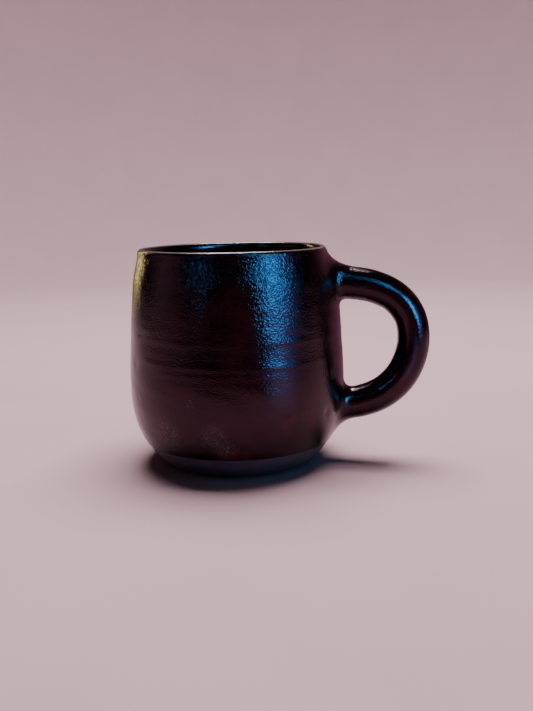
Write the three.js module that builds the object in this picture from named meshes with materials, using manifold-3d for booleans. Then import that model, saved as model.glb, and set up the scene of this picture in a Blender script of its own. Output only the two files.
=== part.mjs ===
// A hand-thrown stoneware mug with a round loop handle.
//
// Millimetres. The origin is the centre of the flat base, +Z is up along the axis that the mug was
// thrown on, and the handle stands out along +X.
//
// The clay is a thrown body, a coil bent into the handle, and a collar of slip that blends each end
// of the coil into the wall. Three coats of fired glaze lie over it: outside, inside, and round the
// handle. Neighbouring pieces keep a small gap. Outlines are drawn in a half plane, each point as
// its distance from the axis and its height.

import * as THREE from 'three';
import { mergeVertices } from 'three/addons/utils/BufferGeometryUtils.js';
import Module from 'manifold-3d';

// Glaze and clearance
const GAP = 0.3;
const GLAZE_THICKNESS = 0.6;
const GLAZE_SURFACE = GAP + GLAZE_THICKNESS; // from the clay out to the surface of the glaze

// Thrown body, as bare clay
const BASE_RADIUS = 28;
const GLAZE_LINE = 10.4; // the outside is unglazed below this height
const LIP_HALF_THICKNESS = 0.6;
const LIP_CENTRE = new THREE.Vector2(37.5, 86.5);
const FLOOR_HEIGHT = 7;

// Handle, as bare clay
const COIL_RADIUS = 5.6;
const ROOT_INSET = 36; // the coil's centre line runs into the wall as far as this from the axis
const LOOP = [
  [ROOT_INSET, 73.2],
  [48, 73],
  [57, 71.2],
  [65.2, 66.8],
  [70.4, 59.8],
  [72, 51],
  [70.6, 42.4],
  [66.2, 34],
  [59.5, 28],
  [52, 24.8],
  [ROOT_INSET, 23.2],
];

// Slip collars. The wall is the clay's radius at the joint's height; reach is along the coil, and
// spread is over the wall.
const UPPER_JOINT = { height: 73.2, wall: 40.4, reach: 5.5, spread: 3.6 };
const LOWER_JOINT = { height: 23.2, wall: 42, reach: 6, spread: 4.6 };
const COLLAR_EDGE = 0.25; // thickness of the slip where it ends on the coil

// Fineness of the facets
const BODY_SEGMENTS = 40;
const WALL_STEPS = 9;
const LIP_STEPS = 4;
const COIL_SIDES = 16;
const COIL_STEPS = 26;
const FILLET_STEPS = 4;
const MERGE_DISTANCE = 1e-4;

const GLAZE = { color: 0x100d10, roughness: 0.25, metalness: 0 };
const CLAY = { color: 0x3b3236, roughness: 0.85, metalness: 0 };

const wasm = await Module();
wasm.setup();

// Outline of the bare clay, in stretches that run from the base up the outside and down the inside.

const toVectors = (points) => points.map(([radius, height]) => new THREE.Vector2(radius, height));

const throughPoints = (points) => new THREE.SplineCurve(toVectors(points)).getPoints(WALL_STEPS);

const foot = toVectors([
  [0, 0],
  [BASE_RADIUS, 0],
  [31.6, 1.8],
  [35.4, 5.3],
]);

const outsideWall = throughPoints([
  [38.5, GLAZE_LINE],
  [41.3, 17.5],
  [42.8, 26],
  [43.1, 36],
  [42.4, 50],
  [41.3, 66],
  [39.8, 78],
  [38.4, 84],
]);

const lip = Array.from({ length: LIP_STEPS + 1 }, (_, step) => {
  const turn = (Math.PI * step) / LIP_STEPS;
  const arm = new THREE.Vector2(Math.cos(turn), Math.sin(turn));
  return arm.multiplyScalar(LIP_HALF_THICKNESS).add(LIP_CENTRE);
});

const insideWall = throughPoints([
  [LIP_CENTRE.x - LIP_HALF_THICKNESS, LIP_CENTRE.y - GAP],
  [37.4, 78],
  [38.6, 66],
  [39.3, 50],
  [39.3, 36],
  [38.2, 25],
  [34.6, 15.5],
  [28.5, 10],
  [21, 7.6],
]);

const floor = toVectors([
  [14, FLOOR_HEIGHT],
  [0, FLOOR_HEIGHT],
]);

const clayOutside = [...foot, ...outsideWall, ...lip];
const clayOutline = [...clayOutside, ...insideWall, ...floor];
const glazeLineIndex = foot.length;
const linerIndex = clayOutside.length;

// Moves every point of the outline out of the clay, square to the surface there.
function offsetOutline(distance) {
  return clayOutline.map((point, i) => {
    const before = clayOutline[Math.max(i - 1, 0)];
    const after = clayOutline[Math.min(i + 1, clayOutline.length - 1)];
    const along = after.clone().sub(before).normalize();
    return new THREE.Vector2(point.x + along.y * distance, point.y - along.x * distance);
  });
}

// Geometry and booleans

function turnAboutZ(outline) {
  return new THREE.LatheGeometry(outline, BODY_SEGMENTS).rotateX(Math.PI / 2);
}

function toSolid(geometry) {
  geometry.deleteAttribute('normal');
  geometry.deleteAttribute('uv');
  const merged = mergeVertices(geometry, MERGE_DISTANCE);
  const corners = Array.from(merged.index.array);
  const triVerts = [];
  for (let i = 0; i < corners.length; i += 3) {
    const triangle = corners.slice(i, i + 3);
    if (new Set(triangle).size === 3) {
      triVerts.push(...triangle);
    }
  }
  return new wasm.Manifold(
    new wasm.Mesh({
      numProp: 3,
      vertProperties: merged.attributes.position.array,
      triVerts: Uint32Array.from(triVerts),
    }),
  );
}

function toGeometry(solid) {
  const mesh = solid.getMesh();
  const geometry = new THREE.BufferGeometry();
  geometry.setAttribute('position', new THREE.BufferAttribute(mesh.vertProperties, 3));
  geometry.setIndex(new THREE.BufferAttribute(mesh.triVerts, 1));
  geometry.computeVertexNormals();
  return geometry;
}

// The body's outside with no hollow in it, grown by a distance.
function filledBody(distance) {
  const outside = offsetOutline(distance).slice(0, linerIndex);
  const crown = new THREE.Vector2(0, outside.at(-1).y);
  return toSolid(turnAboutZ([...outside, crown]));
}

function coil(distance) {
  const section = new THREE.Shape().absarc(0, 0, COIL_RADIUS + distance, 0, 2 * Math.PI);
  const centreLine = LOOP.map(([x, z]) => new THREE.Vector3(x, 0, z));
  return toSolid(
    new THREE.ExtrudeGeometry(section, {
      curveSegments: COIL_SIDES / 2,
      steps: COIL_STEPS,
      bevelEnabled: false,
      extrudePath: new THREE.CatmullRomCurve3(centreLine),
    }),
  );
}

// The clay wall's distance from the mug's axis at a height.
function wallRadius(height) {
  const above = outsideWall.findIndex((point) => point.y > height);
  const low = outsideWall[above - 1];
  const high = outsideWall[above];
  return THREE.MathUtils.mapLinear(height, low.y, high.y, low.x, high.x);
}

// Bends a flare that was drawn against a flat wall so that its root lies on the round wall. The bend
// fades out along the coil.
function bendToWall(geometry, { wall, reach }) {
  const position = geometry.attributes.position;
  for (let i = 0; i < position.count; i += 1) {
    const x = position.getX(i);
    const roundWall = Math.sqrt(wallRadius(position.getZ(i)) ** 2 - position.getY(i) ** 2);
    const share = THREE.MathUtils.clamp((wall + reach - x) / (reach - GLAZE_SURFACE), 0, 1);
    position.setX(i, x + (roundWall - wall) * share);
  }
  return geometry;
}

// The flare of slip round the coil at a joint: a hollow quarter ellipse turned about the coil, from
// the wall out to where it is `edge` proud of the coil.
function flare(joint, distance, edge = 0) {
  const { height, wall, reach, spread } = joint;
  const across = spread - distance;
  const out = reach - distance;
  const firstTurn = Math.acos(1 - edge / across);
  const side = COIL_RADIUS + spread + distance;
  const outline = toVectors([
    [0, ROOT_INSET],
    [side, ROOT_INSET],
    [side, wall + distance],
  ]);
  for (let step = FILLET_STEPS; step >= 0; step -= 1) {
    const turn = firstTurn + ((Math.PI / 2 - firstTurn) * step) / FILLET_STEPS;
    const radius = COIL_RADIUS + spread - across * Math.cos(turn);
    outline.push(new THREE.Vector2(radius, wall + reach - out * Math.sin(turn)));
  }
  outline.push(new THREE.Vector2(0, outline.at(-1).y));
  const geometry = new THREE.LatheGeometry(outline, COIL_SIDES);
  geometry.rotateZ(-Math.PI / 2);
  geometry.translate(0, 0, height);
  return toSolid(bendToWall(geometry, joint));
}

// The whole handle with both its flares, grown by a distance.
function handleShape(distance) {
  return coil(distance).add(flare(UPPER_JOINT, distance)).add(flare(LOWER_JOINT, distance));
}

// Pieces

function thrownBody() {
  return turnAboutZ(clayOutline);
}

function outerGlaze() {
  const outer = offsetOutline(GLAZE_SURFACE).slice(glazeLineIndex, linerIndex);
  const inner = offsetOutline(GAP).slice(glazeLineIndex, linerIndex).reverse();
  const shell = toSolid(turnAboutZ([...outer, ...inner, outer[0]]));
  return toGeometry(shell.subtract(handleShape(GAP)));
}

function linerGlaze() {
  const outer = offsetOutline(GLAZE_SURFACE).slice(linerIndex);
  const inner = offsetOutline(GAP).slice(linerIndex).reverse();
  return turnAboutZ([...inner, ...outer]);
}

function handleCoil() {
  return toGeometry(coil(0).subtract(filledBody(GAP)));
}

function slipCollar(joint) {
  const solid = flare(joint, 0, GAP + COLLAR_EDGE);
  return toGeometry(solid.subtract(coil(GAP)).subtract(filledBody(GAP)));
}

function handleGlaze() {
  const shell = handleShape(GLAZE_SURFACE).subtract(handleShape(GAP));
  return toGeometry(shell.subtract(filledBody(GLAZE_SURFACE + GAP)));
}

const mug = new THREE.Group();
for (const [name, geometry, look] of [
  ['thrown_body', thrownBody(), CLAY],
  ['handle_coil', handleCoil(), CLAY],
  ['upper_slip_joint', slipCollar(UPPER_JOINT), CLAY],
  ['lower_slip_joint', slipCollar(LOWER_JOINT), CLAY],
  ['outer_glaze', outerGlaze(), GLAZE],
  ['liner_glaze', linerGlaze(), GLAZE],
  ['handle_glaze', handleGlaze(), GLAZE],
]) {
  const mesh = new THREE.Mesh(geometry, new THREE.MeshStandardMaterial(look));
  mesh.name = name;
  mug.add(mesh);
}

export default mug;
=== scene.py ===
"""A hand-thrown stoneware mug: satin black glaze over dark clay, a bare foot and a round loop handle.

The mug is worked out in millimetres and becomes metres when a mesh is made. A body shape is turned
about Z; its outline is a list of points, each a distance from the axis and a height. The stage, the
lights and the camera are in metres.
"""

import math

import bmesh
import bpy
import numpy as np
from mathutils import Matrix, Vector


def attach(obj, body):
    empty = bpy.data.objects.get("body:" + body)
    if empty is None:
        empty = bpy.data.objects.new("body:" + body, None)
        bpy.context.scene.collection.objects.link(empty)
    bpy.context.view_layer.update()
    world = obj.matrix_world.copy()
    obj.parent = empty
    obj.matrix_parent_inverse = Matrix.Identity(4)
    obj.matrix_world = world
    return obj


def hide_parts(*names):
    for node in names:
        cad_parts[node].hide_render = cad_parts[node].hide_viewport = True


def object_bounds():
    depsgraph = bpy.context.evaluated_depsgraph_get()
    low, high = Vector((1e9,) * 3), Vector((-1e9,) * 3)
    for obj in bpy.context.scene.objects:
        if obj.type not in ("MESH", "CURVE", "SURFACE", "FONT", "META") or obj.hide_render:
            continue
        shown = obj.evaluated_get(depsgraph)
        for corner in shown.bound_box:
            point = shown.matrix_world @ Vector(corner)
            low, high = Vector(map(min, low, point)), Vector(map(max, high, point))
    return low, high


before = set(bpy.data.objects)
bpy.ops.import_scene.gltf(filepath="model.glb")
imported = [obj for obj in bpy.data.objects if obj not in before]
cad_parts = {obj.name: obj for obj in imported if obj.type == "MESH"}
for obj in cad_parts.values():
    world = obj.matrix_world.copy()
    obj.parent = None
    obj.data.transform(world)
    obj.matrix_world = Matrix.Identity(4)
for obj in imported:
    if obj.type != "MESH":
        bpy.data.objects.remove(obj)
cad_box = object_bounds()

MM = 0.001
FULL_TURN = 2 * math.pi

RIM_HEIGHT = cad_box[1].z / MM
BELLY_RADIUS = 43
GLAZE_LINE = 10.4  # the outside is unglazed below this height
CUP_FLOOR = 7

# Clay outline, from the base up the outside and down the inside
LIP_CENTRE = (37.5, 86.5)
LIP_HALF_THICKNESS = 0.6
FLAT_BASE = [(0, 0), (27, 0)]
FOOT = [FLAT_BASE[-1], (28.6, 0.4), (31.6, 1.8), (35.4, 5.3), (38.5, GLAZE_LINE)]
OUTSIDE = [
    FOOT[-1],
    (41.3, 17.5),
    (42.8, 26),
    (43.1, 36),
    (42.4, 50),
    (41.3, 66),
    (39.8, 78),
    (38.4, 84),
    (LIP_CENTRE[0] + LIP_HALF_THICKNESS, LIP_CENTRE[1]),
]
INSIDE = [
    (LIP_CENTRE[0] - LIP_HALF_THICKNESS, LIP_CENTRE[1]),
    (37.05, 82.5),
    (37.4, 78),
    (38.6, 66),
    (39.3, 50),
    (39.3, 36),
    (38.2, 25),
    (34.6, 15.5),
    (28.5, 10),
    (21, 7.6),
    (14, CUP_FLOOR),
    (0, CUP_FLOOR),
]

# Glaze, measured out from the clay
GLAZE_SURFACE = 0.9
EDGE_THINNING = 0.28  # the coat is this much thinner where it ends above the foot
THINNING_REACH = 2  # most of that thinning is gone this far up
EDGE_ROLL = 0.8  # how far the rolled edge reaches down, as a share of its radius
COAT_THICKNESS = 0.5
LINER_THICKNESS = 0.5
OVERLAP_HEIGHT = 81.5  # the outer coat ends here, inside the rim, over the liner
OVERLAP_FADE = 0.8  # height over which one coat comes to lie on the other
OVERLAP_RISE = 0.12  # how far the outer coat stands over the liner's surface
OVERLAP_SINK = 0.5  # how far its end dips below that
LINER_TUCK = 0.3  # how far the liner draws back under the outer coat
LINER_REACH = 2.5  # how far up under the outer coat the liner goes

# Handle: centre line of the loop in the XZ plane, and the glazed coil's radius along it
LOOP = [
    (36, 73.2),
    (48, 73),
    (57, 71.2),
    (65.2, 66.8),
    (70.4, 59.8),
    (72, 51),
    (70.6, 42.4),
    (66.2, 34),
    (59.5, 28),
    (52, 24.8),
    (36, 23.2),
]
LOOP_RADIUS = [6.65, 6.6, 6.5, 6.35, 6.3, 6.4, 6.5, 6.55, 6.6, 6.5, 6.6]
# How widely the coil is worked into the wall, against height
BLEND_HEIGHTS = [14, 20, 24, 31, 64, 69, 76, 80]
BLEND_WIDTHS = [7.5, 6.5, 4.6, 4.5, 4.0, 2.8, 4.0, 9.0]

# Dry, crusty spots in the glaze: bearing round the axis from +X in degrees, height, radius
DRY_SPOTS = [
    (-93, 20, 7.5),
    (-88, 15, 6.5),
    (-120, 20, 9),
    (-104, 33, 3),
    (96, 20, 6),
    (152, 17, 6.5),
    (60, 15.5, 5),
]

# Fineness of the meshes
SEGMENTS = 264
OUTLINE_STEP = 0.84
TUBE_STEP = 0.72
LOOP_STEP = 0.25
BASE_STEP = 1.5
FOOT_STEP = 0.3
CURVE_SAMPLES = 60  # on a smooth curve, for each point it goes through
EDGE_POINTS = 7
LIP_POINTS = 12
CLAY_LIP_POINTS = 7
CLAY_EVERY = 2  # the clay's wall takes one in this many of the outline's points
PATCH_RINGS = 13
MARK_FADE = 10  # marks on a turned shape die away within this distance of the axis
MERGE_DISTANCE = 1e-6  # metres

# The blocks of the wall that give way to the handle's roots
ROOT_HEIGHTS = (73.2, 23.4)
ROOT_ROWS = 13
ROOT_COLUMNS = 11
CLEAR_OF_WALL = 49.5  # beyond this distance from the axis the coil runs free

# Settling points on the blended outside
ROOT_SIDE = 30  # the wall is settled beyond this X
ROOT_WIDTH = 22  # and this far to each side
COIL_CLEARANCE = 0.3  # but not nearer to the coil than this, where the handle covers it
SLOPE_STEP = 0.02
SETTLE_ROUNDS = 5
LEAST_SLOPE = 0.2  # as a square, so that no point is thrown far off
BATCH = 4000  # points compared with the loop at a time

rng = np.random.default_rng(7)


# ---------------------------------------------------------------- curves


def evenly(points, step):
    """The same polyline with its points about `step` apart."""
    length = np.concatenate([[0], np.cumsum(np.linalg.norm(np.diff(points, axis=0), axis=1))])
    wanted = np.linspace(0, length[-1], round(length[-1] / step) + 1)
    return np.stack([np.interp(wanted, length, column) for column in points.T], axis=1)


def smooth_curve(points, step):
    """A smooth curve through the points."""
    points = np.array(points, float)
    chords = np.linalg.norm(np.diff(points, axis=0), axis=1)
    knots = np.concatenate([[0], np.cumsum(chords)])
    slopes = np.gradient(points, knots, axis=0)
    along = np.linspace(0, knots[-1], CURVE_SAMPLES * len(points))
    k = np.clip(np.searchsorted(knots, along, side="right") - 1, 0, len(chords) - 1)
    width = chords[k][:, None]
    u = (along[:, None] - knots[k][:, None]) / width
    start = points[k] * (1 + 2 * u) * (1 - u) ** 2 + slopes[k] * width * u * (1 - u) ** 2
    end = points[k + 1] * (3 - 2 * u) * u**2 - slopes[k + 1] * width * u**2 * (1 - u)
    return evenly(start + end, step)


def offset(curve, distance):
    """The outline moved out of the clay, to the right of its own direction."""
    along = np.gradient(curve, axis=0)
    along /= np.linalg.norm(along, axis=1, keepdims=True)
    out = np.stack([along[:, 1], -along[:, 0]], axis=1)
    return curve + np.reshape(distance, (-1, 1)) * out


def arc(centre, radius, first_turn, last_turn, count):
    """Points of an arc, both ends included. Turns are in radians."""
    turn = np.linspace(first_turn, last_turn, count)
    return np.array(centre) + radius * np.stack([np.cos(turn), np.sin(turn)], axis=1)


# ---------------------------------------------------------------- the hand of the potter


def waves(count, turns, pitches, heights):
    """Random smooth waves over a turned wall.

    The ranges say how often each repeats round the wall, its length up the wall, and its height.
    """
    return [
        (
            rng.uniform(*heights),
            int(rng.integers(turns[0], turns[1] + 1)),
            FULL_TURN / rng.uniform(*pitches),
            rng.uniform(0, FULL_TURN),
        )
        for _ in range(count)
    ]


def total(waves_, turn, height):
    """The waves added up."""
    return sum(a * np.sin(m * turn + w * height + p) for a, m, w, p in waves_)


# The wall's want of roundness, throwing ridges, where those are strong or faint, drag marks, the
# fingers' spiral inside, and the tool's grooves on the foot
WOBBLE = waves(7, (1, 3), (55, 160), (0.03, 0.07))
RIDGES = waves(6, (-1, 1), (2.4, 5.4), (0.003, 0.006)) + waves(4, (-1, 1), (6, 13), (0.006, 0.01))
PATCHES = waves(6, (1, 6), (14, 50), (0.25, 0.4))
DRAG = waves(10, (5, 17), (5, 16), (0.004, 0.008))
INNER_RIDGES = waves(4, (1, 1), (6.5, 10), (0.05, 0.09))
TURNING = waves(5, (0, 1), (0.7, 1.6), (0.015, 0.03))

# The wobble grows from nothing at the base up to this height
WOBBLE_RISE = 25

# How strong the ridges are on average, at least and at most
RIDGE_STRENGTH = 0.65
RIDGE_LEAST = 0.15
RIDGE_MOST = 1.5

# The rim is pressed in over the handle, from a height up. Bearing and spread are in radians.
PRESS_HEIGHT = 76
PRESS_DEPTH = 1.9
PRESS_BEARING = 0.12
PRESS_SPREAD = 0.5

# Dimples in the outside: bearing in degrees, height, radius, depth
DIMPLES = [
    (-66, 76.6, 0.9, 0.22),
    (-68.5, 73.6, 0.8, 0.18),
    (-28, 25, 1.8, 0.3),
    (-117, 20, 2.4, 0.2),
    (-83, 15.5, 2.2, 0.2),
    (-100, 52, 2.6, 0.12),
    (40, 61, 1.4, 0.2),
    (128, 33, 2.0, 0.25),
    (170, 70, 1.3, 0.2),
    (215, 44, 2.4, 0.2),
]

# Low rings that the potter's fingers left round the outside: height, half width, how proud, and the
# bearing in degrees where they are strongest
RINGS = [
    (54.6, 1.1, 0.085, -60),
    (45.8, 1.1, 0.085, -75),
    (66.5, 1.7, 0.04, 100),
    (36.5, 1.7, 0.035, 180),
    (28, 1.5, 0.04, 20),
]
RING_EVERYWHERE = 0.35  # share of its height that a ring keeps all the way round
RING_SPREAD = 0.9  # radians to either side over which most of the rest is lost

# The groove below the rim: height, half width, depth
RIM_GROOVE = (85.2, 0.6, 0.08)

# The fingers' spiral on the inside fades in from the first height to the second, and out from the
# third to the fourth
SPIRAL_HEIGHTS = (9, 21, 68, 80)

TURNED_ABOVE = 1  # the turning grooves end this far above the glaze line
TURNED_FADE = 2  # after dying away over this height


def aside(turn, bearing):
    """The angle from a bearing to a turn, both in radians, the short way round."""
    return (turn - bearing + math.pi) % FULL_TURN - math.pi


def hump(distance, half_width):
    """1 at no distance, falling away smoothly on both sides."""
    return np.exp(-((distance / half_width) ** 2))


def wobble(turn, height):
    """How far the whole wall stands out of round. The rim is pressed in above the handle."""
    rise = np.clip((height - PRESS_HEIGHT) / (RIM_HEIGHT - PRESS_HEIGHT), 0, 1)
    pressed = PRESS_DEPTH * hump(aside(turn, PRESS_BEARING), PRESS_SPREAD) * rise**2 * (3 - 2 * rise)
    return total(WOBBLE, turn, height) * np.clip(height / WOBBLE_RISE, 0, 1) - pressed


def outside_marks(turn, height):
    """Throwing ridges, drag marks, dimples, rings and the groove below the rim."""
    strength = np.clip(RIDGE_STRENGTH + total(PATCHES, turn, height), RIDGE_LEAST, RIDGE_MOST)
    marks = strength * total(RIDGES, turn, height) + total(DRAG, turn, height)
    for bearing, level, radius, depth in DIMPLES:
        sideways = aside(turn, math.radians(bearing)) * BELLY_RADIUS
        marks = marks - depth * hump(np.hypot(sideways, height - level), radius)
    for level, half_width, proud, bearing in RINGS:
        near = hump(aside(turn, math.radians(bearing)), RING_SPREAD)
        share = RING_EVERYWHERE + (1 - RING_EVERYWHERE) * near
        marks = marks + share * proud * hump(height - level, half_width)
    level, half_width, depth = RIM_GROOVE
    return marks - depth * hump(height - level, half_width)


# ---------------------------------------------------------------- the glazed outside as a distance


def glaze_depth(height):
    """Distance from the outside clay to the surface of the glaze."""
    return GLAZE_SURFACE - EDGE_THINNING * hump(height - GLAZE_LINE, THINNING_REACH)


clay_wall = smooth_curve(OUTSIDE, OUTLINE_STEP)
clay_inside = smooth_curve(INSIDE, OUTLINE_STEP)
glazed_wall = offset(clay_wall, glaze_depth(clay_wall[:, 1]))
loop = smooth_curve(LOOP, LOOP_STEP)
loop_radius = np.interp(
    np.linspace(0, 1, len(loop)), np.linspace(0, 1, len(LOOP_RADIUS)), LOOP_RADIUS
)


def wall_distance(points):
    """Distance from the glazed wall with all its marks."""
    x, y, z = points.T
    turn = np.arctan2(y, x)
    radius = np.interp(z, glazed_wall[:, 1], glazed_wall[:, 0])
    lean = np.interp(z, glazed_wall[:, 1], np.gradient(glazed_wall[:, 0], glazed_wall[:, 1]))
    out = np.hypot(x, y) - radius - wobble(turn, z) - outside_marks(turn, z)
    return out / np.sqrt(1 + lean**2)


def loop_distance(points):
    """Distance from the glazed coil, batch by batch to spare memory."""
    found = np.empty(len(points))
    for first in range(0, len(points), BATCH):
        part = points[first : first + BATCH]
        in_plane = np.hypot(
            part[:, 0, None] - loop[None, :, 0], part[:, 2, None] - loop[None, :, 1]
        )
        nearest = in_plane.argmin(axis=1)
        across = in_plane[np.arange(len(part)), nearest]
        found[first : first + BATCH] = np.hypot(across, part[:, 1]) - loop_radius[nearest]
    return found


def outside_distance(points):
    """Distance from the glaze's outside, with the coil worked smoothly into the wall."""
    wall, coil = wall_distance(points), loop_distance(points)
    width = np.interp(points[:, 2], BLEND_HEIGHTS, BLEND_WIDTHS)
    share = np.clip(1 - np.abs(wall - coil) / width, 0, 1)
    return np.minimum(wall, coil) - share**2 * width / 4


def settle(points):
    """Moves points on to the outside."""
    points = points.copy()
    for _ in range(SETTLE_ROUNDS):
        here = outside_distance(points)
        steps = [outside_distance(points + SLOPE_STEP * axis) - here for axis in np.eye(3)]
        slope = np.stack(steps, axis=1) / SLOPE_STEP
        slope /= np.maximum((slope**2).sum(axis=1, keepdims=True), LEAST_SLOPE)
        points -= slope * here[:, None]
    return points


# ---------------------------------------------------------------- meshes


def make(name, points, faces, replaced):
    """A piece of the mug that rides on its one body and stands for some CAD nodes."""
    mesh = bpy.data.meshes.new(name)
    mesh.from_pydata((np.asarray(points) * MM).tolist(), [], faces)
    shape = bmesh.new()
    shape.from_mesh(mesh)
    bmesh.ops.remove_doubles(shape, verts=shape.verts, dist=MERGE_DISTANCE)
    unused = [vert for vert in shape.verts if not vert.link_faces]
    bmesh.ops.delete(shape, geom=unused, context="VERTS")
    shape.to_mesh(mesh)
    shape.free()
    mesh.shade_smooth()
    piece = bpy.data.objects.new(name, mesh)
    bpy.context.scene.collection.objects.link(piece)
    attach(piece, "root")
    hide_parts(*replaced)
    return piece


def turned(outline, *marks):
    """Points of an outline turned about Z, row by row. Each of marks moves them in or out."""
    turn = np.arange(SEGMENTS) * FULL_TURN / SEGMENTS
    radius, height = outline[:, :1] + 0 * turn, outline[:, 1:] + 0 * turn
    moved = radius + sum(mark(turn, height) for mark in marks) * np.clip(radius / MARK_FADE, 0, 1)
    return np.stack([moved * np.cos(turn), moved * np.sin(turn), height], axis=2).reshape(-1, 3)


def strips(rings):
    """Quads between neighbouring rings, each ring a list of point numbers."""
    faces = []
    for ring, following in zip(rings, rings[1:]):
        for i, j in zip(range(-1, len(ring) - 1), range(len(ring))):
            faces.append((ring[i], ring[j], following[j], following[i]))
    return faces


def rows_of(outline):
    """Point numbers of a turned outline, row by row."""
    return np.arange(len(outline) * SEGMENTS).reshape(-1, SEGMENTS).tolist()


# ---------------------------------------------------------------- outer coat of glaze


def coat_outline():
    """From the rolled lower edge up the outside, over the lip and a little way down the inside."""
    along = clay_wall[1] - clay_wall[0]
    along /= np.linalg.norm(along)
    out = np.array([along[1], -along[0]])
    radius = glaze_depth(GLAZE_LINE) / 2
    turn = np.linspace(-math.pi / 2, math.pi / 2, EDGE_POINTS)[:-1, None]
    roll = clay_wall[0] + radius * (1 + np.sin(turn)) * out - EDGE_ROLL * radius * np.cos(turn) * along
    lip = arc(LIP_CENTRE, LIP_HALF_THICKNESS + GLAZE_SURFACE, 0, math.pi, LIP_POINTS)[1:-1]
    inside = clay_inside[clay_inside[:, 1] > OVERLAP_HEIGHT]
    fade = np.clip((inside[:, 1] - OVERLAP_HEIGHT) / OVERLAP_FADE, 0, 1)
    inner = offset(inside, GLAZE_SURFACE + OVERLAP_RISE - OVERLAP_SINK * (1 - fade) ** 2)
    return np.concatenate([roll, glazed_wall, lip, inner]), len(roll)


def root_block(first_wall_row, height):
    """Rows and columns of the coat that the handle's root takes up."""
    middle = first_wall_row + int(np.abs(glazed_wall[:, 1] - height).argmin())
    return (middle - ROOT_ROWS, middle + ROOT_ROWS), (-ROOT_COLUMNS, ROOT_COLUMNS)


def rim_of_block(block, up):
    """Point numbers round the edge of a block, in order round the coil, with up as its top."""
    (low, high), (left, right) = block
    edge = [(row, column) for row in range(low, high + 1) for column in (left, right)]
    edge += [(row, column) for row in (low, high) for column in range(left + 1, right)]
    middle = (low + high) / 2
    ratio = (right - left) / (high - low)
    edge.sort(key=lambda at: math.atan2(up * (at[0] - middle) * ratio, at[1]))
    return [row * SEGMENTS + column % SEGMENTS for row, column in edge]


def coil_rings(count):
    """Rings of the glazed coil between its roots."""
    clear = np.flatnonzero(loop[:, 0] > CLEAR_OF_WALL)
    centres = evenly(loop[clear[0] : clear[-1] + 1], TUBE_STEP)
    along = np.gradient(centres, axis=0)
    along /= np.linalg.norm(along, axis=1, keepdims=True)
    turn = np.linspace(-math.pi, math.pi, count + 1)[1:]
    radius = np.mean(LOOP_RADIUS)
    x = centres[:, :1] - radius * np.sin(turn) * along[:, 1:]
    y = radius * np.cos(turn) + 0 * x
    z = centres[:, 1:] + radius * np.sin(turn) * along[:, :1]
    return np.stack([x, y, z], axis=2)


def patch(edge, ring):
    """Rings that lead from an edge on the wall to a ring of the coil, both left out."""
    foot = ring.copy()
    foot[:, 0] = np.sqrt(np.maximum(np.hypot(edge[:, 0], edge[:, 1]).mean() ** 2 - foot[:, 1] ** 2, 0))
    rings = []
    for share in np.linspace(0, 1, PATCH_RINGS + 2)[1:-1] * math.pi / 2:
        across = 1 - math.sin(share)
        outward = 1 - math.cos(share)
        rings.append(foot + across * (edge - foot) + outward * (ring - foot))
    return np.array(rings)


def glaze_coat():
    """One skin over the outside wall, the lip and the handle."""
    outline, first_wall_row = coat_outline()
    points = turned(outline, wobble, outside_marks)
    on_wall = np.zeros(len(points), bool)
    on_wall[first_wall_row * SEGMENTS : (first_wall_row + len(glazed_wall)) * SEGMENTS] = True
    near = np.flatnonzero(on_wall & (points[:, 0] > ROOT_SIDE) & (np.abs(points[:, 1]) < ROOT_WIDTH))
    near = near[loop_distance(points[near]) > COIL_CLEARANCE]
    points[near] = settle(points[near])

    blocks = [root_block(first_wall_row, height) for height in ROOT_HEIGHTS]
    upper, lower = rim_of_block(blocks[0], 1), rim_of_block(blocks[1], -1)
    coil = coil_rings(len(upper))
    start = patch(points[upper], coil[0])
    end = patch(points[lower], coil[-1])[::-1]
    handle = np.concatenate([start, coil, end])
    handle_points = settle(handle.reshape(-1, 3))

    faces = []
    for number, quad in enumerate(strips(rows_of(outline))):
        # A row's first quad lies just before the handle's side. Columns count both ways from there.
        row, column = divmod(number, SEGMENTS)
        column = (column - 1 + SEGMENTS // 2) % SEGMENTS - SEGMENTS // 2
        if not any(a <= row < b and c <= column < d for (a, b), (c, d) in blocks):
            faces.append(quad)
    numbers = np.arange(len(handle_points)).reshape(len(handle), -1) + len(points)
    faces += strips([upper, *numbers.tolist(), lower])
    piece = make(
        "glaze_coat",
        np.concatenate([points, handle_points]),
        faces,
        ["outer_glaze", "handle_glaze"],
    )
    solid = piece.modifiers.new("thickness", "SOLIDIFY")
    solid.thickness = COAT_THICKNESS * MM
    solid.offset = -1
    return piece


# ---------------------------------------------------------------- inside glaze and clay


def inner_marks(turn, height):
    """The spiral that the fingers leave on the inside wall."""
    strength = np.interp(height, SPIRAL_HEIGHTS, (0, 1, 1, 0))
    return strength * total(INNER_RIDGES, turn, height)


def glaze_liner():
    """The inside coat: its back from the axis up to under the rim, then its front down to the axis."""
    inside = clay_inside[clay_inside[:, 1] < OVERLAP_HEIGHT + LINER_REACH]
    under_coat = np.clip((inside[:, 1] - OVERLAP_HEIGHT + OVERLAP_FADE) / OVERLAP_FADE, 0, 1)
    front = offset(inside, GLAZE_SURFACE - LINER_TUCK * under_coat)
    back = offset(inside, GLAZE_SURFACE - LINER_THICKNESS)[::-1]
    outline = np.concatenate([back, front])
    outline[0, 0] = outline[-1, 0] = 0
    points = turned(outline, wobble, inner_marks)
    return make("glaze_liner", points, strips(rows_of(outline)), ["liner_glaze"])


def turning_marks(turn, height):
    """Fine grooves that the turning tool leaves on the bare foot."""
    strength = np.clip((GLAZE_LINE + TURNED_ABOVE - height) / TURNED_FADE, 0, 1)
    return strength * total(TURNING, turn, height)


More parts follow.
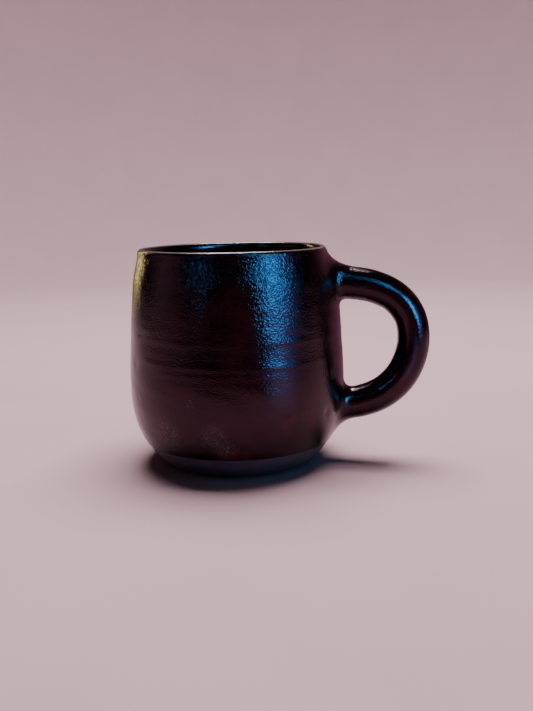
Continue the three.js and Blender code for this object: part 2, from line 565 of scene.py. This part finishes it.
def clay_body():
    """The thrown clay: flat base, bare foot, wall, lip and inside."""
    base = evenly(np.array(FLAT_BASE, float), BASE_STEP)[:-1]
    foot = smooth_curve(FOOT, FOOT_STEP)[:-1]
    lip = arc(LIP_CENTRE, LIP_HALF_THICKNESS, 0, math.pi, CLAY_LIP_POINTS)[1:-1]
    outside, inside = clay_wall[::CLAY_EVERY], clay_inside[::CLAY_EVERY]
    outline = np.concatenate([base, foot, outside, lip, inside])
    outline[0, 0] = outline[-1, 0] = 0
    points = turned(outline, wobble, turning_marks)
    return make("clay_body", points, strips(rows_of(outline)), ["thrown_body"])


# ---------------------------------------------------------------- materials


class Shading:
    """A procedural material as a small graph of nodes, in the object's own coordinates."""

    def __init__(self, name):
        self.material = bpy.data.materials.new(name)
        self.material.use_nodes = True
        self.nodes = self.material.node_tree.nodes
        self.surface = self.nodes["Principled BSDF"]
        self.place = self.node("ShaderNodeTexCoord").outputs["Object"]

    def node(self, kind, **settings):
        """A new node with its settings."""
        made = self.nodes.new(kind)
        for key, value in settings.items():
            setattr(made, key, value)
        return made

    def plug(self, value, socket):
        """Links a socket's value, or sets a constant."""
        if isinstance(value, bpy.types.NodeSocket):
            self.material.node_tree.links.new(value, socket)
        else:
            socket.default_value = value

    def noise(self, size, detail=2.0, stretch=(1, 1, 1)):
        """Noise from 0 to 1, with features about `size` mm across."""
        scaled = self.node("ShaderNodeMapping")
        self.plug(self.place, scaled.inputs["Vector"])
        scaled.inputs["Scale"].default_value = stretch
        made = self.node("ShaderNodeTexNoise")
        self.plug(scaled.outputs["Vector"], made.inputs["Vector"])
        made.inputs["Scale"].default_value = 1 / (size * MM)
        made.inputs["Detail"].default_value = detail
        return made.outputs["Fac"]

    def dots(self, spacing, radius, core=0.6):
        """1 in the core of round dots about `spacing` mm apart, fading to 0 at their edges."""
        made = self.node("ShaderNodeTexVoronoi")
        self.plug(self.place, made.inputs["Vector"])
        made.inputs["Scale"].default_value = 1 / (spacing * MM)
        edge = radius / spacing
        return self.ramp(made.outputs["Distance"], core * edge, edge, 1, 0)

    def height(self):
        """Height above the base, in metres."""
        made = self.node("ShaderNodeSeparateXYZ")
        self.plug(self.place, made.inputs[0])
        return made.outputs["Z"]

    def axis_distance(self):
        """Distance from the axis the mug was thrown on, in metres."""
        flat = self.node("ShaderNodeVectorMath", operation="MULTIPLY")
        self.plug(self.place, flat.inputs[0])
        flat.inputs[1].default_value = (1, 1, 0)
        made = self.node("ShaderNodeVectorMath", operation="LENGTH")
        self.plug(flat.outputs["Vector"], made.inputs[0])
        return made.outputs["Value"]

    def spot(self, centre, radius, core=0.2):
        """1 in the core of a spot, fading to 0 at `radius` from its centre, both in mm."""
        made = self.node("ShaderNodeVectorMath", operation="DISTANCE")
        self.plug(self.place, made.inputs[0])
        made.inputs[1].default_value = [part * MM for part in centre]
        return self.ramp(made.outputs["Value"], core * radius * MM, radius * MM, 1, 0)

    def ramp(self, value, low, high, at_low=0.0, at_high=1.0):
        """Leads smoothly from `at_low` to `at_high` as the value goes from low to high."""
        made = self.node("ShaderNodeMapRange", interpolation_type="SMOOTHSTEP")
        sockets = ("Value", "From Min", "From Max", "To Min", "To Max")
        for name, given in zip(sockets, (value, low, high, at_low, at_high)):
            self.plug(given, made.inputs[name])
        return made.outputs["Result"]

    def math(self, operation, a, b=0.0, c=0.0):
        """The result of a Math node."""
        made = self.node("ShaderNodeMath", operation=operation)
        for socket, given in zip(made.inputs, (a, b, c)):
            self.plug(given, socket)
        return made.outputs["Value"]

    def mix(self, share, a, b):
        """Colour a, with a share of colour b."""
        made = self.node("ShaderNodeMix", data_type="RGBA")
        self.plug(share, made.inputs["Factor"])
        colours = [socket for socket in made.inputs if socket.type == "RGBA"]
        self.plug(a, colours[0])
        self.plug(b, colours[1])
        return next(socket for socket in made.outputs if socket.type == "RGBA")

    def relief(self, height, depth, under=None, strength=1.0):
        """A bump `depth` mm deep, on top of another one."""
        made = self.node("ShaderNodeBump")
        self.plug(height, made.inputs["Height"])
        self.plug(strength, made.inputs["Strength"])
        made.inputs["Distance"].default_value = depth * MM
        if under is not None:
            self.plug(under, made.inputs["Normal"])
        return made.outputs["Normal"]

    def set(self, **values):
        """Plugs values into the shader's sockets, which are named with _ for each space."""
        for name, value in values.items():
            self.plug(value, self.surface.inputs[name.replace("_", " ")])


def dry_share(look):
    """How dry and crusty the glaze is, from 0 to 1. It is driest in spots low on the wall."""
    dry = look.ramp(look.noise(9, 4, (1, 1, 0.45)), 0.66, 0.76)
    for bearing, level, radius in DRY_SPOTS:
        turn, away = math.radians(bearing), np.interp(level, glazed_wall[:, 1], glazed_wall[:, 0])
        centre = (away * math.cos(turn), away * math.sin(turn), level)
        dry = look.math("MAXIMUM", dry, look.spot(centre, radius))
    crust = look.noise(0.75, 3, (1, 1, 0.8))
    return look.math("MULTIPLY", dry, look.ramp(crust, 0.42, 0.64, 0.22, 1))


def glaze_colour(look, cloud, dry):
    """Black and brown, with iron red low on the outside, dry grey spots, and a pale lip that is partly a
    glaze break and partly a painted highlight.
    """
    black = (0.0025, 0.0014, 0.002, 1)
    brown = (0.016, 0.0035, 0.0065, 1)
    iron_red = (0.032, 0.004, 0.008, 1)
    dry_grey = (0.064, 0.051, 0.069, 1)
    pale_lip_break_and_highlight = (0.22, 0.175, 0.17, 1)

    colour = look.mix(look.ramp(cloud, 0.42, 0.72), black, brown)
    low = look.ramp(look.height(), 18 * MM, 48 * MM, 1, 0)
    outside = look.ramp(look.axis_distance(), 37 * MM, 38.5 * MM)
    iron = look.math("MULTIPLY", low, outside)
    iron = look.math("MULTIPLY", iron, look.ramp(look.noise(11, 2), 0.48, 0.66))
    colour = look.mix(iron, colour, iron_red)
    colour = look.mix(look.math("MULTIPLY", dry, 0.85), colour, dry_grey)
    # Pale band over the lip: partly the glaze breaking thin, partly a painted highlight for the rim's
    # bright line
    lip_break_and_highlight_band = look.ramp(look.height(), 87.5 * MM, 87.85 * MM)
    broken = look.ramp(look.noise(1.1, 4), 0.3, 0.6, 0.55, 1)
    return look.mix(look.math("MULTIPLY", lip_break_and_highlight_band, broken), colour, pale_lip_break_and_highlight)


def glaze_roughness(look, cloud, dry):
    """Satin, duller where it is dry and on the cup's floor, where spoons have stirred."""
    satin = look.ramp(look.noise(5, 4), 0.3, 0.7, 0.11, 0.17)
    rough = look.math("MULTIPLY_ADD", dry, 0.2, satin)
    stirred = look.ramp(look.axis_distance(), 22 * MM, 36 * MM, 1, 0)
    return look.math("MULTIPLY_ADD", stirred, look.ramp(cloud, 0.3, 0.7, 0.24, 0.36), rough)


def glaze_relief(look, dry):
    """Ripples, orange peel, grit in the dry spots, and pinholes."""
    ripple = look.noise(2.2, 2)
    peel = look.noise(0.56, 0)
    grit = look.noise(0.3, 3)
    pinholes = look.math("MULTIPLY", look.dots(3.4, 0.3), look.ramp(look.noise(7, 1), 0.5, 0.62))

    # The peel is weaker inside, on the handle and low on the wall
    inside_share = look.ramp(look.axis_distance(), 38.3 * MM, 39 * MM, 0.4, 1)
    handle_share = look.ramp(look.axis_distance(), 50 * MM, 60 * MM, 1, 0.5)
    lower_share = look.ramp(look.height(), 30 * MM, 80 * MM, 0.5, 1)
    peel_share = look.math("MULTIPLY", look.math("MULTIPLY", inside_share, handle_share), lower_share)

    normal = look.relief(ripple, 0.03)
    normal = look.relief(peel, 0.13, normal, peel_share)
    normal = look.relief(look.math("MULTIPLY", dry, grit), 0.09, normal)
    return look.relief(look.math("SUBTRACT", 1, pinholes), 0.12, normal)


def glaze():
    """Satin black-brown glaze."""
    look = Shading("black_glaze")
    cloud = look.noise(16, 3)
    dry = dry_share(look)
    look.set(Base_Color=glaze_colour(look, cloud, dry), Roughness=glaze_roughness(look, cloud, dry))
    look.set(Normal=glaze_relief(look, dry), IOR=1.42, Specular_Tint=(1, 0.55, 0.75, 1))
    return look.material


def clay():
    """Dark, purplish stoneware with grain, grog and turning grooves."""
    dark = (0.031, 0.016, 0.041, 1)
    purple = (0.05, 0.026, 0.06, 1)
    pale_grain = (0.08, 0.05, 0.07, 1)
    pale_grog = (0.09, 0.07, 0.062, 1)

    look = Shading("bare_stoneware")
    grain = look.noise(0.5, 4)
    cloud = look.noise(9, 4)
    grooves = look.noise(30, 2, (1, 1, 46))
    grog = look.dots(1.5, 0.22)
    colour = look.mix(look.ramp(cloud, 0.35, 0.7), dark, purple)
    colour = look.mix(look.ramp(grain, 0.45, 0.8), colour, pale_grain)
    colour = look.mix(look.math("MULTIPLY", grog, 0.6), colour, pale_grog)
    normal = look.relief(grooves, 0.12)
    normal = look.relief(grain, 0.06, normal)
    normal = look.relief(grog, 0.04, normal)
    rough = look.ramp(grain, 0.3, 0.75, 0.52, 0.72)
    look.set(Base_Color=colour, Roughness=rough, Normal=normal)
    return look.material


def floor_paper():
    """Matt paper with the slightest unevenness."""
    look = Shading("pale_floor")
    shade = look.ramp(look.noise(60, 3), 0.3, 0.7)
    darker = tuple(FLOOR_SHADE * part for part in FLOOR_COLOUR[:3]) + (1,)
    look.set(Base_Color=look.mix(shade, FLOOR_COLOUR, darker), Roughness=0.9, Specular_IOR_Level=0)
    return look.material


def black_card():
    """Black felt that fades to grey at its near edge. The card runs along -Y in its own frame."""
    look = Shading("black_card")
    made = look.node("ShaderNodeSeparateXYZ")
    look.plug(look.place, made.inputs[0])
    share = look.ramp(made.outputs["Y"], -FLAG_NEAR - FLAG_FADE, -FLAG_NEAR)
    black = look.mix(look.noise(20, 3), (0.003, 0.002, 0.003, 1), (0.006, 0.004, 0.006, 1))
    grey = (0.4, 0.26, 0.28, 1)
    look.set(Base_Color=look.mix(share, black, grey), Roughness=0.9, Specular_IOR_Level=0)
    return look.material


def felt(name, darker, paler):
    """Matt felt, a little cloudy."""
    look = Shading(name)
    colour = look.mix(look.noise(40, 3), darker, paler)
    look.set(Base_Color=colour, Roughness=0.9, Specular_IOR_Level=0)
    return look.material


# ---------------------------------------------------------------- the mug

black_glaze = glaze()
bare_stoneware = clay()
for piece in (glaze_coat(), glaze_liner()):
    piece.data.materials.append(black_glaze)
clay_body().data.materials.append(bare_stoneware)
for node in ("handle_coil", "upper_slip_joint", "lower_slip_joint"):
    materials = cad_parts[node].data.materials
    for slot in range(len(materials)):
        materials[slot] = bare_stoneware


# ---------------------------------------------------------------- stage, lights and camera

MIDDLE = Vector((0, 0, (cad_box[0].z + cad_box[1].z) / 2))

# Paper: a floor that bends up into a wall behind the mug, and a surround that stands nearer
FLOOR_GAP = 0.00005
FLOOR_LEVEL = cad_box[0].z - FLOOR_GAP
FLOOR_COLOUR = (0.8, 0.52, 0.57, 1)
FLOOR_SHADE = 0.97  # its darkest cloud, as a share of that
FLOOR_HALF_WIDTH = 3
WALL_HEIGHT = 2.4
BEND_RADIUS = 0.5
BEND_POINTS = 17
SWEEP_BEND = 1.2  # distance from the axis at which the floor starts to bend
SURROUND_BEND = 0.75
SURROUND_SIDES = 96

# Cards: each point of a line is a distance from the axis, a height and half the card's width there
CARD_LIFT = 0.002
FLAG_AZIMUTH = 10
FLAG_NEAR = 0.19
FLAG_FADE = 0.3
FLAG_LINE = [(FLAG_NEAR, 0, 0.24), (1.6, 0, 0.576)]
REAR_CARD_AZIMUTH = 152
REAR_CARD_LINE = [(0.1, 0, 0.055), (0.75, 0, 0.42), (0.8, 0.5, 0.42)]

# Lights: name, azimuth, elevation, distance from the mug's middle, size, colour, radiance and use
SKY_BLUE = (0.04, 0.5, 1.0)
LIGHTS = [
    ("window", 50, 16, 0.72, (0.19, 0.32), SKY_BLUE, 35, "glossy"),
    ("window_upper", 34, 36, 0.72, (0.15, 0.2), SKY_BLUE, 20, "glossy"),
    ("window_low", 51, -5, 0.72, (0.22, 0.2), (0.1, 0.38, 1.0), 8, "glossy"),
    ("window_side", 66, 12, 0.72, (0.2, 0.36), (0.05, 0.3, 1.0), 3, "glossy"),
    ("window_top", 10, 50, 0.8, (0.5, 0.05), SKY_BLUE, 9, "glossy"),
    ("side_strip", -30, 22, 0.8, (0.035, 0.26), (0.1, 0.5, 1.0), 14, "glossy"),
    ("warm_strip", -132, 14, 0.9, (0.07, 0.46), (1.0, 0.76, 0.3), 14, "glossy"),
    ("violet_glow", 48, -12, 0.14, (0.055, 0.05), (0.25, 0.4, 1.0), 1.1, "glossy"),
    ("red_card", 16, 6, 0.9, (0.56, 0.3), (1.0, 0.2, 0.35), 0.3, "glossy"),
    ("rose_card", -72, 12, 0.9, (0.6, 0.4), (1.0, 0.7, 0.85), 0.4, "glossy"),
    ("ceiling_lamp", 197, 64, 1.1, (0.54, 0.24), (1.0, 0.98, 0.94), 48, "glossy"),
    ("overhead", 170, 76, 1.1, (0.9, 0.6), (1.0, 0.96, 0.97), 12, "diffuse"),
]
WORLD_COLOUR = (0.9, 0.82, 0.85, 1)
WORLD_STRENGTH = 0.025

# Camera: its place, where it points in degrees, and its lens and sensor in mm
CAMERA_PLACE = (0.0583, -0.3309, 0.106)
CAMERA_HEADING = 7.92
CAMERA_DOWN = 10.65
CAMERA_ROLL = -1.13
CAMERA_LENS = 41.65
CAMERA_SENSOR = 36
CAMERA_NEAREST = 0.01


def towards(azimuth, elevation, distance):
    """A place seen from the mug's middle. Azimuth 0 is in front, along -Y, and 90 is along +X."""
    a, e = math.radians(azimuth), math.radians(elevation)
    away = Vector((math.sin(a) * math.cos(e), -math.cos(a) * math.cos(e), math.sin(e)))
    return MIDDLE + away * distance


def stage_piece(name, points, faces, material):
    """A mesh that isn't part of the mug."""
    mesh = bpy.data.meshes.new(name)
    mesh.from_pydata(points, [], faces)
    mesh.shade_smooth()
    mesh.materials.append(material)
    thing = bpy.data.objects.new(name, mesh)
    bpy.context.scene.collection.objects.link(thing)
    return thing


def bend(start):
    """A quarter round from the floor up and the wall above it, as distance and height, in metres."""
    curve = arc((start, BEND_RADIUS), BEND_RADIUS, -math.pi / 2, 0, BEND_POINTS)
    return np.concatenate([curve, [(start + BEND_RADIUS, WALL_HEIGHT)]]) + (0, FLOOR_LEVEL)


def ribbon(line):
    """Quads along a line that has two points, side by side, for each of its own."""
    return [(2 * i, 2 * i + 1, 2 * i + 3, 2 * i + 2) for i in range(len(line) - 1)]


def sweep(paper):
    """A pale floor that curves up into a wall behind the mug.

    The surround hides the wall from the camera, but the mug's gloss mirrors it.
    """
    line = np.concatenate([[(-FLOOR_HALF_WIDTH, FLOOR_LEVEL)], bend(SWEEP_BEND)])
    sides = (-FLOOR_HALF_WIDTH, FLOOR_HALF_WIDTH)
    points = [(side, depth, height) for depth, height in line for side in sides]
    stage_piece("floor", points, ribbon(line), paper)


def surround(paper):
    """The same paper standing all round, so that every view has a pale ground behind the mug.

    It neither lights the mug nor shows in its gloss.
    """
    turn = np.arange(SURROUND_SIDES) * FULL_TURN / SURROUND_SIDES
    line = bend(SURROUND_BEND)
    points = [(r * math.cos(a), r * math.sin(a), height) for r, height in line for a in turn]
    rings = np.arange(len(points)).reshape(-1, SURROUND_SIDES).tolist()
    wall = stage_piece("surround", points, strips(rings), paper)
    wall.visible_glossy = False
    wall.visible_diffuse = False


def softbox(name, place, size, colour, radiance, use):
    """A soft rectangular light that faces the mug's middle. Radiance is how bright it looks.

    Use is "glossy" for a light that is only mirrored, or "diffuse" for one that only lights up.
    """
    data = bpy.data.lights.new(name, "AREA")
    data.shape = "RECTANGLE"
    data.size, data.size_y = size
    data.color = colour
    data.energy = radiance * math.pi * size[0] * size[1]
    light = bpy.data.objects.new(name, data)
    bpy.context.scene.collection.objects.link(light)
    light.location = place
    light.rotation_euler = (place - MIDDLE).to_track_quat("Z", "Y").to_euler()
    light.visible_diffuse = use == "diffuse"
    light.visible_glossy = use == "glossy"


def card(name, azimuth, line, material):
    """A card seen only in the mug's gloss. It runs away from the mug along the floor and may turn up."""
    points = [(side * half, -away, height) for away, height, half in line for side in (-1, 1)]
    thing = stage_piece(name, points, ribbon(line), material)
    thing.location.z = cad_box[0].z + CARD_LIFT
    thing.rotation_euler.z = math.radians(azimuth)
    for kind in ("camera", "diffuse", "transmission", "volume_scatter", "shadow"):
        setattr(thing, f"visible_{kind}", False)


pale_paper = floor_paper()
sweep(pale_paper)
surround(pale_paper)
card("flag", FLAG_AZIMUTH, FLAG_LINE, black_card())
rose_felt = felt("rose_felt", (0.21, 0.07, 0.12, 1), (0.28, 0.11, 0.17, 1))
card("rear_card", REAR_CARD_AZIMUTH, REAR_CARD_LINE, rose_felt)

world = bpy.data.worlds.new("studio")
world.use_nodes = True
background = world.node_tree.nodes["Background"].inputs
background["Color"].default_value = WORLD_COLOUR
background["Strength"].default_value = WORLD_STRENGTH
bpy.context.scene.world = world

for name, azimuth, elevation, distance, size, colour, radiance, use in LIGHTS:
    softbox(name, towards(azimuth, elevation, distance), size, colour, radiance, use)

view = bpy.data.cameras.new("camera")
view.sensor_fit = "AUTO"
view.sensor_width = CAMERA_SENSOR
view.lens = CAMERA_LENS
view.clip_start = CAMERA_NEAREST
camera = bpy.data.objects.new("camera", view)
bpy.context.scene.collection.objects.link(camera)
camera.location = CAMERA_PLACE
camera.rotation_mode = "QUATERNION"
heading = Matrix.Rotation(math.radians(CAMERA_HEADING), 3, "Z")
pitch = Matrix.Rotation(math.radians(90 - CAMERA_DOWN), 3, "X")
roll = Matrix.Rotation(math.radians(CAMERA_ROLL), 3, "Z")
camera.rotation_quaternion = (heading @ pitch @ roll).to_quaternion()
bpy.context.scene.camera = camera
